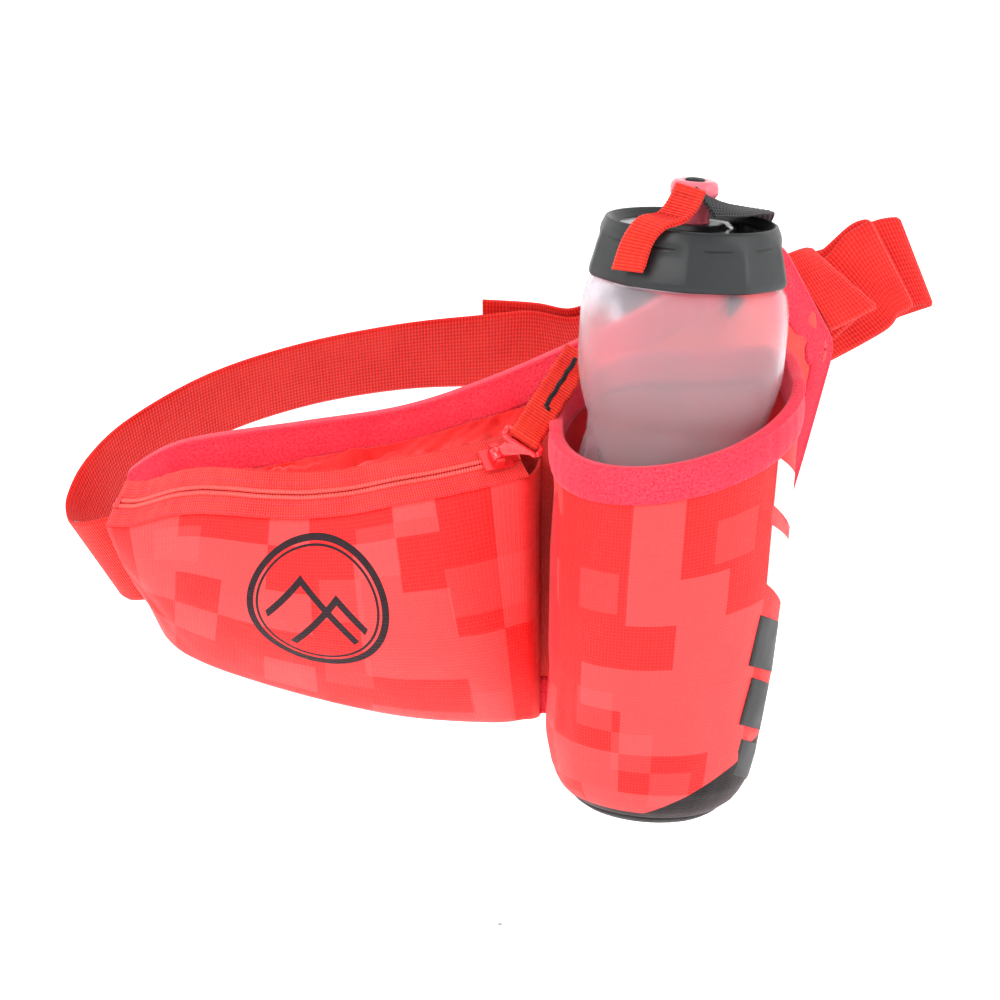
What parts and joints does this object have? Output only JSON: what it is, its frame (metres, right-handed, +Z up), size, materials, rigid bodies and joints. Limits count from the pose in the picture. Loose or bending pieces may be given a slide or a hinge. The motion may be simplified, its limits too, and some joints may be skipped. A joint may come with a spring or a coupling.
{
  "type": "waist pack",
  "caption": "Waist pack with a zipped pocket, an angled sleeve holding a drink bottle, an elastic cap strap and a webbing belt with a side-release buckle.",
  "frame": {"origin": "middle of the waist loop: halfway between the panel and the belt behind it, level with the middle of the pack", "axes": "+X along the panel from the pocket to the bottle, +Y inward from the panel to the wearer, +Z up"},
  "size_m": [0.3373, 0.2081, 0.2289],
  "materials": {
    "coral_ripstop": "woven ripstop",
    "foam": "closed foam under cloth",
    "spacer_mesh": "open spacer mesh",
    "pink_binding": "knitted stretch binding",
    "zip_tape": "woven zip tape",
    "zip_coil": "nylon coil",
    "zip_metal": "red lacquer",
    "red_plastic": "moulded, glossy",
    "orange_tab": "grosgrain",
    "lining": "plain lining",
    "black_base": "matt coated",
    "frosted_bottle": "frosted, translucent",
    "seal": "smooth",
    "black_cap": "satin",
    "pink_spout": "translucent",
    "valve": "smooth",
    "black_elastic": "ribbed elastic",
    "coral_webbing": "ribbed webbing",
    "reflective": "retroreflective tape",
    "black_acetal": "moulded"
  },
  "bodies": {
    "pack": {"panel_face": "coral_ripstop", "panel_foam": "foam", "panel_mesh": "spacer_mesh", "panel_binding": "pink_binding", "pocket_front": "coral_ripstop", "pocket_gusset": "coral_ripstop", "zip_tape_lower": "zip_tape", "zip_tape_upper": "zip_tape", "zip_coil_lower": "zip_coil", "zip_coil_upper": "zip_coil", "zip_end_stops": "zip_metal", "bottle_sleeve": "coral_ripstop", "sleeve_lining": "lining", "sleeve_binding": "pink_binding", "sleeve_base": "black_base", "retention_anchor": "black_elastic", "belt_strap_left": "coral_webbing", "reflective_stripe": "reflective", "belt_strap_right": "coral_webbing", "strap_keeper": "coral_webbing", "buckle_female": "black_acetal"},
    "slider": {"zip_slider": "zip_metal"},
    "pull": {"zip_pull": "red_plastic"},
    "pull_tab": {"zip_pull_tab": "orange_tab"},
    "bottle": {"bottle_body": "frosted_bottle"},
    "seal": {"cap_seal": "seal"},
    "cap": {"bottle_cap": "black_cap"},
    "spout": {"spout": "pink_spout", "spout_valve": "valve"},
    "retention": {"retention_elastic": "black_elastic", "retention_tab": "orange_tab"},
    "buckle_male": {"buckle_male": "black_acetal"},
    "arm_upper": {"buckle_arm_upper": "black_acetal"},
    "arm_lower": {"buckle_arm_lower": "black_acetal"}
  },
  "joints": [
    {"name": "zip_travel", "type": "hinge", "parent": "pack", "child": "slider", "pos_m": [-0.043, 0.036, 0.0033], "axis": [-0.1531, -0.0111, 0.9882], "range_deg": [-61, 0]},
    {"name": "pull_flip", "type": "hinge", "parent": "slider", "child": "pull", "pos_m": [0.00886, -0.08758, 0.01281], "axis": [0.3835, -0.6425, -0.6634], "range_deg": [0, 120]},
    {"name": "tab_flip", "type": "hinge", "parent": "pull", "child": "pull_tab", "pos_m": [0.01894, -0.08825, 0.01929], "axis": [0.8426, -0.1304, -0.5225], "range_deg": [0, 120], "deforming": ["zip_pull_tab"]},
    {"name": "bottle_slide", "type": "slide", "parent": "pack", "child": "bottle", "axis": [0.0628, 0, 0.998], "range_m": [0, 0.15]},
    {"name": "cap_lift", "type": "slide", "parent": "bottle", "child": "seal", "axis": [0.0628, 0, 0.998], "range_m": [0, 0.0016]},
    {"name": "cap_turn", "type": "hinge", "parent": "seal", "child": "cap", "pos_m": [0.07514, -0.094, 0.08462], "axis": [0.0628, 0, 0.998], "range_deg": [0, 180]},
    {"name": "spout_pull", "type": "slide", "parent": "cap", "child": "spout", "axis": [0.0628, 0, 0.998], "range_m": [0, 0.005]},
    {"name": "retention_swing", "type": "hinge", "parent": "pack", "child": "retention", "pos_m": [0.096, -0.054, 0.081], "axis": [-0.9764, -0.1526, 0.1526], "range_deg": [0, 152], "deforming": ["retention_elastic", "retention_tab"]},
    {"name": "buckle_release", "type": "slide", "parent": "pack", "child": "buckle_male", "axis": [-0.9498, 0.0498, -0.309], "range_m": [0, 0.035], "deforming": ["belt_strap_left"]},
    {"name": "arm_upper_squeeze", "type": "hinge", "parent": "buckle_male", "child": "arm_upper", "pos_m": [0.06366, 0.04651, 0.04209], "axis": [-0.0777, 0.9189, 0.3868], "range_deg": [0, 8], "stiffness_Nm_per_rad": 0.2},
    {"name": "arm_lower_squeeze", "type": "hinge", "parent": "buckle_male", "child": "arm_lower", "pos_m": [0.07154, 0.05669, 0.0195], "axis": [-0.0777, 0.9189, 0.3868], "range_deg": [-8, 0], "stiffness_Nm_per_rad": 0.2}
  ],
  "couplings": [
    {"joint": "retention_swing", "follows": "bottle_slide", "rad_per_m": 17.4}
  ]
}
